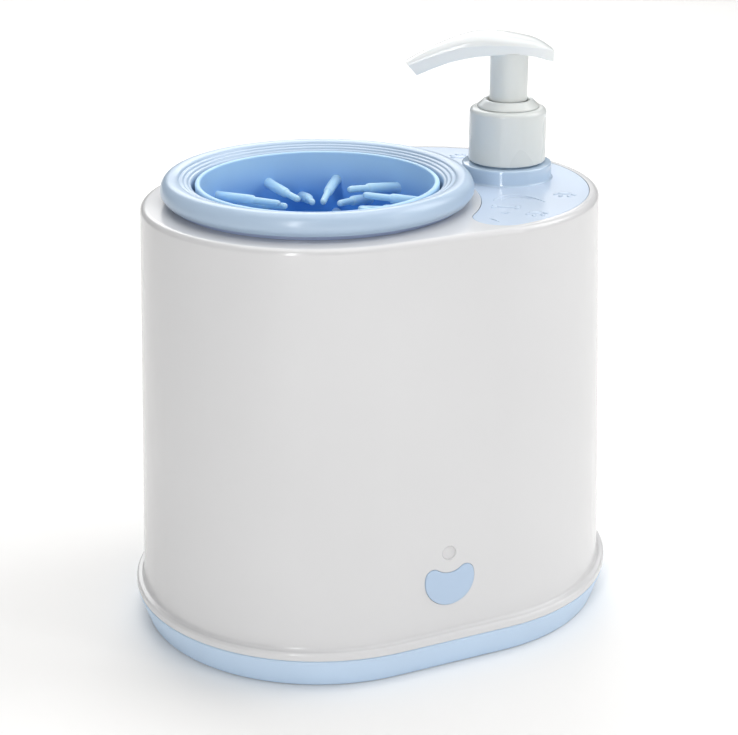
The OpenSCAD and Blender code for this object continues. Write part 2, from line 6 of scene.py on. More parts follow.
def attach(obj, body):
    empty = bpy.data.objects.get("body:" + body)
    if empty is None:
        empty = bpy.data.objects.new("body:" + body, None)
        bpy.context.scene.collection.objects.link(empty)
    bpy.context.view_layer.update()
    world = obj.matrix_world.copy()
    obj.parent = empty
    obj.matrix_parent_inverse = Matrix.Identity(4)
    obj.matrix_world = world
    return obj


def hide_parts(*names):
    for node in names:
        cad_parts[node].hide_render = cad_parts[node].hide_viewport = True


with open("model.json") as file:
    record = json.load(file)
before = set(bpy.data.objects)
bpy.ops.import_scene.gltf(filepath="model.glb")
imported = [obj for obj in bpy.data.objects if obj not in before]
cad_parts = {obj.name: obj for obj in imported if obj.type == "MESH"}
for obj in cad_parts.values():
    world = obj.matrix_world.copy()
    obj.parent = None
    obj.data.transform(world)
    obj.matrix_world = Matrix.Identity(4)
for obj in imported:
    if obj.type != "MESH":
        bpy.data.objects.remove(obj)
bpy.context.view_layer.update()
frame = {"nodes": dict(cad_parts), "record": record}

MM = 0.001
PI = math.pi
rng = random.Random(7)

# ------------------------------------------------------------------ main sizes, millimetres
END_X, DECK_R, DECK_Z, DRAFT = 25.0, 73.0, 184.4, 6.7
SLOPE = DRAFT / DECK_Z
CUP_X = -25.0
PUMP_X = 64.0
def wall_r(z): return DECK_R + SLOPE * (DECK_Z - z)
FLANGE_R = wall_r(15) + 3.3 - 0.04
SEAM = 13.3
LED = (-1.9, 51.7)
BTN = (-1.9, 40.0)

# ------------------------------------------------------------------ mesh helpers
def obj_from(name, verts, faces, scale=MM):
    me = bpy.data.meshes.new(name)
    me.from_pydata([(x * scale, y * scale, z * scale) for x, y, z in verts], [], faces)
    me.update()
    ob = bpy.data.objects.new(name, me)
    bpy.context.scene.collection.objects.link(ob)
    return ob

def fix_normals(ob):
    bm = bmesh.new(); bm.from_mesh(ob.data)
    bmesh.ops.recalc_face_normals(bm, faces=bm.faces)
    bm.to_mesh(ob.data); bm.free()

def smooth(ob, angle=38):
    ob.data.shade_smooth()
    ob.data.set_sharp_from_angle(angle=math.radians(angle))

def revolve_vf(prof, n=160, cx=0.0, cy=0.0, closed=True):
    """prof: (radius, z) points, closed loop unless it starts and ends on the axis."""
    verts, idx = [], []
    for r, z in prof:
        if r < 1e-6:
            idx.append([len(verts)]); verts.append((cx, cy, z))
        else:
            base = len(verts); idx.append([base + k for k in range(n)])
            for k in range(n):
                a = 2 * PI * k / n
                verts.append((cx + r * math.cos(a), cy + r * math.sin(a), z))
    faces, m = [], len(prof)
    for i in range(m if closed else m - 1):
        A, B = idx[i], idx[(i + 1) % m]
        if len(A) == 1 and len(B) == 1: continue
        for k in range(n):
            k2 = (k + 1) % n
            if len(A) == 1: faces.append((A[0], B[k2], B[k]))
            elif len(B) == 1: faces.append((A[k], A[k2], B[0]))
            else: faces.append((A[k], A[k2], B[k2], B[k]))
    return verts, faces

def revolve(name, prof, n=160, cx=0.0, cy=0.0, angle=38):
    v, f = revolve_vf(prof, n, cx, cy)
    ob = obj_from(name, v, f); fix_normals(ob); smooth(ob, angle)
    return ob

def stadium_loop(R, z, n=72, ex=END_X):
    pts = []
    for k in range(n + 1):
        a = -PI / 2 + PI * k / n
        pts.append((ex + R * math.cos(a), R * math.sin(a), z))
    for k in range(n + 1):
        a = PI / 2 + PI * k / n
        pts.append((-ex + R * math.cos(a), R * math.sin(a), z))
    return pts

def stadium_vf(prof, n=72, cap0=True, cap1=True, closed=False):
    verts, faces, m = [], [], len(prof)
    L = 2 * (n + 1)
    for R, z in prof: verts += stadium_loop(R, z, n)
    for i in range(m if closed else m - 1):
        a0, b0 = i * L, ((i + 1) % m) * L
        for k in range(L):
            k2 = (k + 1) % L
            faces.append((a0 + k, a0 + k2, b0 + k2, b0 + k))
    if not closed:
        if cap0: faces.append(tuple(range(L - 1, -1, -1)))
        if cap1: faces.append(tuple((m - 1) * L + k for k in range(L)))
    return verts, faces

def prism(name, pts, z0, z1):
    n = len(pts)
    v = [(x, y, z0) for x, y in pts] + [(x, y, z1) for x, y in pts]
    f = [tuple(range(n - 1, -1, -1)), tuple(range(n, 2 * n))] + [(k, (k + 1) % n, n + (k + 1) % n, n + k) for k in range(n)]
    ob = obj_from(name, v, f); fix_normals(ob)
    return ob

def boxo(name, lo, hi):
    (x0, y0, z0), (x1, y1, z1) = lo, hi
    return prism(name, [(x0, y0), (x1, y0), (x1, y1), (x0, y1)], z0, z1)

def boolean(ob, cutter, op="DIFFERENCE"):
    m = ob.modifiers.new("b", "BOOLEAN"); m.operation = op; m.solver = "EXACT"; m.object = cutter
    dg = bpy.context.evaluated_depsgraph_get(); dg.update()
    me = bpy.data.meshes.new_from_object(ob.evaluated_get(dg))
    ob.modifiers.clear(); old = ob.data; ob.data = me; bpy.data.meshes.remove(old)
    cm = cutter.data; bpy.data.objects.remove(cutter); bpy.data.meshes.remove(cm)
    return ob

def apply_mods(ob):
    dg = bpy.context.evaluated_depsgraph_get(); dg.update()
    me = bpy.data.meshes.new_from_object(ob.evaluated_get(dg))
    ob.modifiers.clear(); old = ob.data; ob.data = me; bpy.data.meshes.remove(old)
    return ob

def bevel(ob, width, seg=3, angle=40):
    m = ob.modifiers.new("bev", "BEVEL"); m.width = width * MM; m.segments = seg
    m.limit_method = "ANGLE"; m.angle_limit = math.radians(angle); m.harden_normals = False
    apply_mods(ob)
    return ob

def weighted(ob):
    m = ob.modifiers.new("wn", "WEIGHTED_NORMAL"); m.mode = "FACE_AREA"; m.weight = 80; m.keep_sharp = True
    return ob

def join(name, obs):
    """One mesh from several, with each part's material kept."""
    vs, fs, mi, mats, sm = [], [], [], [], []
    for o in obs:
        base = len(vs); vs += [tuple(o.matrix_world @ v.co) for v in o.data.vertices]
        remap = []
        for m in o.data.materials:
            if m not in mats: mats.append(m)
            remap.append(mats.index(m))
        for p in o.data.polygons:
            fs.append(tuple(base + i for i in p.vertices)); mi.append(remap[p.material_index] if remap else 0); sm.append(p.use_smooth)
    ob = obj_from(name, vs, fs, 1.0)
    for m in mats: ob.data.materials.append(m)
    ob.data.polygons.foreach_set("material_index", mi); ob.data.polygons.foreach_set("use_smooth", sm)
    for o in obs:
        me = o.data; bpy.data.objects.remove(o); bpy.data.meshes.remove(me)
    return ob

def arc(cx, cy, r, a0, a1, n):
    return [(cx + r * math.cos(math.radians(a0 + (a1 - a0) * i / n)), cy + r * math.sin(math.radians(a0 + (a1 - a0) * i / n))) for i in range(n + 1)]

def dedupe(pts, eps=1e-4):
    out = []
    for p in pts:
        if not out or math.hypot(p[0] - out[-1][0], p[1] - out[-1][1]) > eps: out.append(p)
    if math.hypot(out[0][0] - out[-1][0], out[0][1] - out[-1][1]) < eps: out.pop()
    return out

# outline of the tank top, grown by g
PR, PC, PF = 69.0, 67.6, 12.0
PCX = ((PC + PF) ** 2 - (PR - PF) ** 2) / 4 / END_X
PCY = -math.sqrt((PR - PF) ** 2 - (PCX - END_X) ** 2)
PA1 = math.degrees(math.atan2(PCY, PCX - END_X)); PA2 = math.degrees(math.atan2(PCY, PCX - CUP_X))
def panel_pts(g=0.0, k=2):
    return dedupe(arc(END_X, 0, PR + g, PA1, -PA1, 64 * k) + arc(PCX, -PCY, PF + g, -PA1, 180 - PA2, 12 * k)
                  + arc(CUP_X, 0, PC - g, -PA2, PA2, 40 * k) + arc(PCX, PCY, PF + g, PA2 - 180, PA1, 12 * k))
# kidney outline of the button, about its own centre, grown by g
BR, BITE, LOBE = 11.3, 8.7, 3.6
BD = LED[1] - BTN[1]
LY = ((BR - LOBE) ** 2 - (BITE + LOBE) ** 2 + BD * BD) / (2 * BD)
LX = math.sqrt((BR - LOBE) ** 2 - LY * LY)
LA = math.degrees(math.atan2(LY, LX)); LB = math.degrees(math.atan2(BD - LY, LX))
def button_pts(g=0.0, k=2):
    return dedupe(arc(0, 0, BR + g, 180 - LA, 360 + LA, 48 * k) + arc(LX, LY, LOBE + g, LA, 180 - LB, 12 * k)
                  + arc(0, BD, BITE - g, -LB, LB - 180, 20 * k) + arc(-LX, LY, LOBE + g, LB, 180 - LA, 12 * k))

TILT = math.atan(SLOPE)
def on_front(ob, x, z):
    """Places an object drawn in its own x, y plane (z outwards) on the leaning front wall."""
    m = Matrix.Translation((x * MM, -wall_r(z) * MM, z * MM)) @ Matrix.Rotation(PI / 2 - TILT, 4, "X")
    ob.data.transform(m); ob.data.update()
    return ob

# ------------------------------------------------------------------ materials
def lin(c): return tuple(((v / 12.92) if v <= 0.04045 else ((v + 0.055) / 1.055) ** 2.4) for v in c)
def srgb(r, g, b): return lin((r / 255, g / 255, b / 255))

def plastic(name, col, rough=(0.28, 0.38), var=0.03, grain=0.00002, grain_scale=900.0, mottle=22.0, coat=0.0, coat_rough=0.06,
            ior=1.47, sss=0.0, sss_r=(0.6, 0.8, 1.0), metallic=0.0, streak=None, dust=0.0, transmission=0.0, spec=0.5, rough_scale=24.0, painted_shade=None):
    m = bpy.data.materials.new(name); m.use_nodes = True
    nt = m.node_tree; N = nt.nodes; L = nt.links; N.clear()
    out = N.new("ShaderNodeOutputMaterial"); b = N.new("ShaderNodeBsdfPrincipled"); L.new(b.outputs[0], out.inputs[0])
    tc = N.new("ShaderNodeTexCoord")
    mp = N.new("ShaderNodeMapping"); L.new(tc.outputs["Object"], mp.inputs[0])
    if streak: mp.inputs["Scale"].default_value = streak
    n1 = N.new("ShaderNodeTexNoise"); n1.inputs["Scale"].default_value = mottle; n1.inputs["Detail"].default_value = 2.5; n1.inputs["Roughness"].default_value = 0.5
    L.new(mp.outputs[0], n1.inputs["Vector"])
    mix = N.new("ShaderNodeMix"); mix.data_type = "RGBA"
    mix.inputs[6].default_value = tuple(max(0, c * (1 - var)) for c in col) + (1,)
    mix.inputs[7].default_value = tuple(min(1, c * (1 + var)) for c in col) + (1,)
    mr0 = N.new("ShaderNodeMapRange"); mr0.inputs[1].default_value = 0.18; mr0.inputs[2].default_value = 0.82; mr0.interpolation_type = "SMOOTHSTEP"
    L.new(n1.outputs["Fac"], mr0.inputs[0]); L.new(mr0.outputs[0], mix.inputs[0])
    colour = mix.outputs[2]
    # pale bloom on the moulded skin: very small specks of a lighter tone
    n2 = N.new("ShaderNodeTexNoise"); n2.inputs["Scale"].default_value = 260; n2.inputs["Detail"].default_value = 8; n2.inputs["Roughness"].default_value = 0.7
    L.new(tc.outputs["Object"], n2.inputs["Vector"])
    if dust > 0:
        mr1 = N.new("ShaderNodeMapRange"); mr1.inputs[1].default_value = 0.6; mr1.inputs[2].default_value = 0.78; mr1.inputs[4].default_value = dust
        L.new(n2.outputs["Fac"], mr1.inputs[0])
        mx2 = N.new("ShaderNodeMix"); mx2.data_type = "RGBA"; mx2.inputs[7].default_value = tuple(min(1, c * 0.8 + 0.2) for c in col) + (1,)
        L.new(colour, mx2.inputs[6]); L.new(mr1.outputs[0], mx2.inputs[0]); colour = mx2.outputs[2]
    # painted shade: lower down in object z the colour is blended towards a darker colour, reaching it fully at z0,
    # standing in for the shade inside the cup
    if painted_shade:
        z0, z1, shade_col = painted_shade
        sep = N.new("ShaderNodeSeparateXYZ"); L.new(tc.outputs["Object"], sep.inputs[0])
        mz = N.new("ShaderNodeMapRange"); mz.inputs[1].default_value = z0 * MM; mz.inputs[2].default_value = z1 * MM; mz.interpolation_type = "SMOOTHSTEP"
        L.new(sep.outputs[2], mz.inputs[0])
        mf = N.new("ShaderNodeMix"); mf.data_type = "RGBA"; mf.inputs[6].default_value = shade_col + (1,)
        L.new(mz.outputs[0], mf.inputs[0]); L.new(colour, mf.inputs[7]); colour = mf.outputs[2]
    L.new(colour, b.inputs["Base Color"])
    n3 = N.new("ShaderNodeTexNoise"); n3.inputs["Scale"].default_value = rough_scale; n3.inputs["Detail"].default_value = 2
    L.new(mp.outputs[0], n3.inputs["Vector"])
    mr = N.new("ShaderNodeMapRange"); mr.inputs[1].default_value = 0.2; mr.inputs[2].default_value = 0.8
    mr.inputs[3].default_value = rough[0]; mr.inputs[4].default_value = rough[1]
    L.new(n3.outputs["Fac"], mr.inputs[0]); L.new(mr.outputs[0], b.inputs["Roughness"])
    if grain > 0:
        n4 = N.new("ShaderNodeTexNoise"); n4.inputs["Scale"].default_value = grain_scale; n4.inputs["Detail"].default_value = 3
        L.new(tc.outputs["Object"], n4.inputs["Vector"])
        bp = N.new("ShaderNodeBump"); bp.inputs["Strength"].default_value = 0.35; bp.inputs["Distance"].default_value = grain
        L.new(n4.outputs["Fac"], bp.inputs["Height"]); L.new(bp.outputs[0], b.inputs["Normal"])
    b.inputs["IOR"].default_value = ior
    b.inputs["Metallic"].default_value = metallic
    b.inputs["Specular IOR Level"].default_value = spec
    if coat > 0:
        b.inputs["Coat Weight"].default_value = coat; b.inputs["Coat Roughness"].default_value = coat_rough
    if sss > 0:
        b.inputs["Subsurface Weight"].default_value = sss; b.inputs["Subsurface Radius"].default_value = sss_r
        b.inputs["Subsurface Scale"].default_value = 0.004
    if transmission > 0: b.inputs["Transmission Weight"].default_value = transmission
    return m

M = {}
M["white_shell"] = plastic("white_shell", srgb(222, 222, 223), rough=(0.20, 0.27), var=0.012, grain=0.000006, mottle=14, coat=0.35, coat_rough=0.05)
M["blue_base"] = plastic("blue_base", srgb(200, 221, 243), rough=(0.30, 0.40), var=0.02, grain=0.00001)
M["blue_ring"] = plastic("blue_ring", srgb(186, 207, 229), rough=(0.28, 0.35), var=0.015, grain=0.000008, coat=0.22, coat_rough=0.14)
# the liner's colour is painted darker towards the bottom (from z 192 down to z 168): painted shade inside the cup
M["blue_liner"] = plastic("blue_liner", srgb(186, 223, 255), painted_shade=(168, 192, srgb(84, 156, 238)), rough=(0.40, 0.52), var=0.04, grain=0.00002, mottle=30)
M["bristle_soft"] = plastic("bristle_soft", srgb(188, 226, 255), rough=(0.36, 0.5), var=0.03, grain=0.00002, mottle=60, sss=0.25)
M["blue_panel"] = plastic("blue_panel", srgb(200, 215, 234), rough=(0.22, 0.28), var=0.015, grain=0.00001, grain_scale=1400)
M["blue_boss"] = plastic("blue_boss", srgb(198, 219, 240), rough=(0.07, 0.10), var=0.02, grain=0.000004, coat=0.5, coat_rough=0.04)
M["blue_button"] = plastic("blue_button", srgb(186, 207, 231), rough=(0.28, 0.36), var=0.02, grain=0.00001)
M["pump_white"] = plastic("pump_white", srgb(224, 228, 226), rough=(0.24, 0.32), var=0.015, grain=0.000008, mottle=30, coat=0.25, coat_rough=0.08, sss=0.08)
M["pump_top"] = plastic("pump_top", srgb(240, 243, 243), rough=(0.2, 0.28), var=0.012, grain=0.000006, mottle=30, coat=0.35, coat_rough=0.06, sss=0.08)
M["pump_clear"] = plastic("pump_clear", srgb(222, 230, 236), rough=(0.35, 0.45), var=0.02)
M["tank_natural"] = plastic("tank_natural", srgb(226, 234, 242), rough=(0.38, 0.5), var=0.03, mottle=12, sss=0.2)
M["blue_cup"] = plastic("blue_cup", srgb(178, 192, 224), rough=(0.25, 0.35), var=0.03, mottle=18)
M["inner_white"] = plastic("inner_white", srgb(214, 216, 218), rough=(0.4, 0.55), var=0.03, grain=0.00004)
M["gear_acetal"] = plastic("gear_acetal", srgb(236, 232, 216), rough=(0.3, 0.42), var=0.03, sss=0.1)
M["steel"] = plastic("steel", (0.62, 0.63, 0.65), rough=(0.18, 0.34), var=0.06, metallic=1.0, grain=0.00001, streak=(1, 1, 12))
M["dark_steel"] = plastic("dark_steel", (0.30, 0.31, 0.33), rough=(0.28, 0.45), var=0.1, metallic=1.0, grain=0.00001)
M["bronze"] = plastic("bronze", (0.62, 0.42, 0.20), rough=(0.3, 0.45), var=0.1, metallic=1.0, grain=0.00003)
M["black_rubber"] = plastic("black_rubber", (0.022, 0.022, 0.024), rough=(0.6, 0.8), var=0.25, grain=0.00005, dust=0.1)
M["white_rubber"] = plastic("white_rubber", srgb(224, 226, 228), rough=(0.45, 0.6), var=0.02, grain=0.00003)
M["lens"] = plastic("lens", srgb(222, 222, 224), rough=(0.22, 0.30), var=0.01, grain=0.000008, sss=0.15)
M["pcb"] = plastic("pcb", (0.012, 0.10, 0.045), rough=(0.25, 0.4), var=0.3, mottle=160, coat=0.4)
M["cell_wrap"] = plastic("cell_wrap", (0.03, 0.10, 0.34), rough=(0.15, 0.25), var=0.08, coat=0.5)
M["wire_red"] = plastic("wire_red", (0.42, 0.02, 0.015), rough=(0.3, 0.42), var=0.1)

slot_of = {s["node"]: s["material_slot"] for s in frame["record"]["subparts"]}
for n, o in frame["nodes"].items():
    m = M[slot_of[n]]
    if o.data.materials:
        for i in range(len(o.data.materials)): o.data.materials[i] = m
    else: o.data.materials.append(m)

def place(ob, body, mat, nodes=()):
    if mat and not ob.data.materials: ob.data.materials.append(M[mat])
    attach(ob, body)
    if nodes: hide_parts(*nodes)
    return ob

# ------------------------------------------------------------------ outer housing
def build_housing():
    r = 2.6
    prof = [(FLANGE_R - 0.9, SEAM + 0.12), (FLANGE_R - 0.35, SEAM + 0.2)]
    prof += [(FLANGE_R - 0.8 + 0.8 * math.cos(math.radians(a)), SEAM + 1.0 + 0.8 * math.sin(math.radians(a))) for a in range(-50, 1, 10)]
    prof += [(FLANGE_R - 1.2 + 1.2 * math.cos(math.radians(a)), 15.8 + 1.2 * math.sin(math.radians(a))) for a in range(0, 86, 10)]
    zf = 17.0
    prof += [(FLANGE_R - 1.9, zf + 0.02), (wall_r(zf) + 1.0, zf + 0.12), (wall_r(zf) + 0.55, zf + 0.28), (wall_r(zf + 0.6) + 0.18, zf + 0.7), (wall_r(zf + 1.3) + 0.02, zf + 1.4)]
    prof += [(wall_r(z), z) for z in (20, 60, 100, 140, 172, DECK_Z - r - 0.6)]
    zc, rc = DECK_Z - r, wall_r(DECK_Z - r) - r
    prof += [(rc + r * math.cos(math.radians(a)), zc + r * math.sin(math.radians(a))) for a in np.linspace(0, 90, 13)]
    prof += [(rc - 1.2, DECK_Z)]
    v, f = stadium_vf(prof, 80)
    ob = obj_from("housing_shell", v, f); fix_normals(ob)
    # hollow inside
    inner = [(wall_r(SEAM) - 2.6, SEAM - 2), (wall_r(SEAM + 1) - 2.6, SEAM + 1), (DECK_R - 2.6, DECK_Z - 2.6)]
    v, f = stadium_vf(inner, 48)
    c = obj_from("c0", v, f); fix_normals(c); boolean(ob, c)
    v, f = revolve_vf([(0, 170), (58.6, 170), (58.6, 200), (0, 200)], 160, CUP_X); c = obj_from("c1", v, f); fix_normals(c); boolean(ob, c)
    boolean(ob, prism("c2", panel_pts(0.14), 170, 200))
    c = prism("c3", button_pts(0.15), -8, 4); on_front(c, *BTN); boolean(ob, c)
    # lamp window: dished recess, then a through hole
    dish = [(0, -8), (2.95, -8), (2.95, -0.62), (3.02, -0.4), (3.16, -0.2), (3.36, -0.06), (3.6, 0.02), (4.2, 3.0), (0, 3.0)]
    v, f = revolve_vf(dish, 96); c = obj_from("c4", v, f); fix_normals(c); on_front(c, *LED); boolean(ob, c)
    boolean(ob, boxo("c6", (-8.6, 76.9, 22.2), (8.6, 90, 37.2)))
    boolean(ob, boxo("c7", (-5.2, 60, 27.2), (5.2, 90, 32.2)))
    v, f = revolve_vf([(0, -8.6), (1.55, -8.6), (1.55, 8.6), (0, 8.6)], 40); c = obj_from("c8", v, f); fix_normals(c)
    c.data.transform(Matrix.Translation((0, 77.75 * MM, 23.6 * MM)) @ Matrix.Rotation(PI / 2, 4, "Y")); boolean(ob, c)
    smooth(ob, 32); weighted(ob)
    return place(ob, "housing", "white_shell", ["outer_housing"])
build_housing()
# inner pad and ledge that the shell carries: seen when the tank or flap is off
def ledge():
    a, b = panel_pts(1.2), panel_pts(-2.2)
    n, m = len(a), len(b)
    ob = prism("tank_ledge", a, 179.4, 181.85)
    boolean(ob, prism("lc", b, 175, 185))
    return place(ob, "housing", "white_shell")
ledge()
pad = boxo("port_pad", (-14, 72.7, 20), (14, 76.3, 40))
boolean(pad, boxo("pc", (-5.2, 60, 27.2), (5.2, 90, 32.2)))
place(bevel(pad, 0.4, 2), "housing", "white_shell")

# ------------------------------------------------------------------ base tray
def build_base():
    R0 = FLANGE_R - 0.15
    lo, zb = FLANGE_R - 4.3, 0.25
    prof = [(40.0, zb), (lo - 3.2, zb), (lo - 1.0, zb)]
    prof += [(lo - 0.7 + 0.7 * math.cos(math.radians(a)), zb + 0.7 + 0.7 * math.sin(math.radians(a))) for a in (-70, -45, -20)]
    prof += [(lo + 0.08, zb + 0.95), (lo + 0.9, 3.4), (lo + 2.1, 7.0), (lo + 3.2, 10.3), (lo + 3.55, 11.45), (lo + 3.6, 11.62), (R0 - 0.42, 11.78), (R0 - 0.22, 12.0), (R0 - 0.12, 12.5), (R0 - 0.2, 13.05), (R0 - 0.5, SEAM),
            (FLANGE_R - 3.2, SEAM), (FLANGE_R - 3.6, SEAM - 0.3), (lo - 2.0, 5.2), (lo - 2.7, 4.0), (lo - 3.8, 3.6)]
    v, f = stadium_vf(prof, 80, cap0=True, cap1=True)
    ob = obj_from("base_shell", v, f); fix_normals(ob)
    legs = [(-45, 26), (-45, -26), (45, 22), (45, -22)]
    posts = [(25, 71.5), (25, -71.5), (-25, 71.5), (-25, -71.5), (96.5, 0), (-96.5, 0)]
    feet = [(68, 44), (68, -44), (-68, 44), (-68, -44)]
    for i, (x, y) in enumerate(legs + posts):
        v, f = revolve_vf([(0, -3), (3.1, -3), (3.1, 2.3), (0, 2.3)], 32, x, y); c = obj_from("bc", v, f); fix_normals(c); boolean(ob, c)
    for x, y in feet:
        v, f = revolve_vf([(0, -3), (8.1, -3), (8.1, 2.4), (0, 2.4)], 48, x, y); c = obj_from("bc", v, f); fix_normals(c); boolean(ob, c)
    smooth(ob, 30); weighted(ob)
    return place(ob, "housing", "blue_base", ["base_tray"])
build_base()

# ------------------------------------------------------------------ splash ring
def build_ring():
    prof = [(51.8, 181.2), (52.0, 180.8), (52.5, 180.6), (53.0, 180.8), (53.45, 181.4), (53.5, 182), (53.5, 186.6), (62.0, 186.6), (62.4, 186.55), (62.9, 186.6)]
    prof += [(60.4 + 4.2 * math.cos(math.radians(a)), 189.7 + (5.6 if a > 0 else 3.3) * math.sin(math.radians(a))) for a in np.linspace(-52, 84, 26)]
    prof += [(59.9, 195.30), (58.8, 195.22), (57.9, 195.0), (57.3, 194.72), (57.0, 194.45), (56.86, 194.1), (56.7, 193.92), (56.45, 193.95), (56.1, 194.12), (55.7, 194.14), (55.3, 193.98), (55.05, 193.74),
             (54.92, 193.42), (54.75, 193.26), (54.5, 193.3), (54.15, 193.46), (53.75, 193.42), (53.4, 193.22), (53.2, 192.96), (53.08, 192.64), (52.9, 192.5), (52.65, 192.5), (52.3, 192.4), (52.0, 192.1), (51.8, 191.6)]
    ob = revolve("ring_shell", prof, 224, CUP_X, 0, 60)
    return place(ob, "ring", "blue_ring", ["splash_ring"])
build_ring()

# ------------------------------------------------------------------ brush sleeve and bristles
def build_sleeve():
    zt, ri, ro = 192.6, 48.2, 50.4
    prof = [(0, 82.8), (45.6, 82.8), (47.6, 83.4), (49.2, 85.0), (49.8, 87), (49.8, 186.0), (50.0, 186.6), (50.4, 187.2)]
    prof += [(ro - 1.0 + 1.0 * math.cos(math.radians(a)), zt - 1.0 + 1.0 * math.sin(math.radians(a))) for a in range(0, 91, 15)]
    prof += [(ri + 0.7 + 0.7 * math.cos(math.radians(a)), zt - 0.7 + 0.7 * math.sin(math.radians(a))) for a in range(105, 181, 15)]
    prof += [(ri, 180), (ri, 150), (ri, 110), (ri, 90.0), (47.6, 87.2), (46, 85.6), (43.6, 85.0), (0, 85.0)]
    ob = revolve("brush_liner", prof, 192, CUP_X, 0, 40)
    boolean(ob, boxo("sq", (CUP_X - 7.3, -7.3, 80), (CUP_X + 7.3, 7.3, 95)))
    for rr, n in ((24, 8), (38, 12)):
        for k in range(n):
            a = 2 * PI * k / n
            v, f = revolve_vf([(0, 80), (1.8, 80), (1.8, 90), (0, 90)], 20, CUP_X + rr * math.cos(a), rr * math.sin(a)); c = obj_from("h", v, f); fix_normals(c); boolean(ob, c)
    smooth(ob, 35); weighted(ob)
    return place(ob, "brush", "blue_liner", ["brush_sleeve"])
build_sleeve()

def bristle_mesh(root, tip, seed):
    """A soft two-step peg from root to tip, flared at the wall, slightly bent."""
    r = random.Random(seed)
    d = tip - root; L = d.length; d.normalize()
    up = Vector((0, 0, 1)); s = d.cross(up).normalized(); u = s.cross(d).normalized()
    step = 0.60 + r.uniform(-0.02, 0.03)
    k = 18
    st = [(0.0, 2.45), (0.016, 2.3), (0.04, 2.2), (0.1, 2.18), (0.3, 2.16), (0.5, 2.12), (step - 0.035, 2.08), (step - 0.012, 1.95), (step + 0.002, 1.7), (step + 0.01, 1.5),
          (step + 0.022, 1.44), (0.8, 1.42), (0.93, 1.4), (0.968, 1.3), (0.988, 1.02), (0.997, 0.6), (1.0, 0.0)]
    bend = r.uniform(-0.4, 0.4); sag = r.uniform(0.0, 0.45)
    verts, faces, rings = [], [], []
    for t, rad in st:
        w = 4 * t * (1 - t)
        c = root + d * (L * t) + s * (bend * w) + u * (sag * w)
        if rad == 0: rings.append([len(verts)]); verts.append(tuple(c)); continue
        base = len(verts); rings.append(list(range(base, base + k)))
        for j in range(k):
            a = 2 * PI * j / k
            verts.append(tuple(c + s * (rad * math.cos(a)) + u * (rad * math.sin(a))))
    for A, B in zip(rings, rings[1:]):
        for j in range(k):
            j2 = (j + 1) % k
            if len(B) == 1: faces.append((A[j], A[j2], B[0]))
            else: faces.append((A[j], A[j2], B[j2], B[j]))
    faces.append(tuple(reversed(rings[0])))
    return verts, faces

# rows of ten, staggered; sideways and upward lean of the tip for those whose lean shows
LEAN = {(0, 0): (-0.9, 4.6), (0, 1): (-1.0, -2.4), (0, 2): (0.2, -0.4), (0, 3): (1.4, -0.2), (0, 9): (0.0, 5.2), (1, 0): (0.0, 5.2), (1, 1): (0.5, 5.2), (1, 2): (0.0, 5.2), (1, 9): (0.0, 5.2)}
def build_bristles():
    V, F = [], []
    for row in range(10):
        for k in range(10):
            a = math.radians(21 + 36 * (k + (row % 2) / 2)); z = 180 - 7.5 * row
            inward = Vector((-math.cos(a), -math.sin(a), 0)); tan = Vector((-inward.y, inward.x, 0))
            seed = 100 * row + k
            r = random.Random(seed)
            side, rise = LEAN.get((row, k), (r.uniform(-2.5, 2.5), r.uniform(-1.5, 2.0) + (3.6 if row % 2 else 0)))
            root = Vector((CUP_X, 0, z)) - inward * 48.5
            L = 30.0
            run = math.sqrt(max(1.0, L * L - side * side - rise * rise))
            tip = root + inward * run + tan * side + Vector((0, 0, rise))
            v, f = bristle_mesh(root, tip, seed)
            b = len(V); V += v; F += [tuple(b + i for i in q) for q in f]
    ob = obj_from("bristles", V, F); fix_normals(ob); smooth(ob, 50)
    return place(ob, "brush", "bristle_soft", ["brush_bristles"])
build_bristles()

# ------------------------------------------------------------------ soap tank top
def dome(x, y, rx, ry, rot, h, n=20, m=6):
    """A low raised pad: half an ellipsoid, sunk a little at its edge."""
    V, F = [], []
    c, s = math.cos(math.radians(rot)), math.sin(math.radians(rot))
    for i in range(m):
        t = PI / 2 * i / m
        for j in range(n):
            a = 2 * PI * j / n
            px, py = rx * math.cos(t) * math.cos(a), ry * math.cos(t) * math.sin(a)
            V.append((x + c * px - s * py, y + s * px + c * py, DECK_Z - 0.12 + (h + 0.12) * math.sin(t)))
    V.append((x, y, DECK_Z + h))
    for i in range(m - 1):
        for j in range(n):
            j2 = (j + 1) % n
            F.append((i * n + j, i * n + j2, (i + 1) * n + j2, (i + 1) * n + j))
    for j in range(n): F.append(((m - 1) * n + j, (m - 1) * n + (j + 1) % n, m * n))
    F.append(tuple(range(n - 1, -1, -1)))
    return V, F

def add(V, F, vf):
    b = len(V); V += vf[0]; F += [tuple(b + i for i in q) for q in vf[1]]

def paw(V, F, x, y, rot, k=1.0, h=0.45):
    c, s = math.cos(math.radians(rot)), math.sin(math.radians(rot))
    def P(px, py): return x + k * (c * px - s * py), y + k * (s * px + c * py)
    add(V, F, dome(*P(0, -0.3), 2.3 * k, 1.8 * k, rot, h))
    for t, r1 in ((-58, 3.5), (-20, 4.1), (20, 4.1), (58, 3.5)):
        px, py = r1 * math.sin(math.radians(t)), r1 * math.cos(math.radians(t)) - 0.4
        add(V, F, dome(*P(px, py), 0.8 * k, 1.15 * k, rot - t * 0.6, h * 0.9))

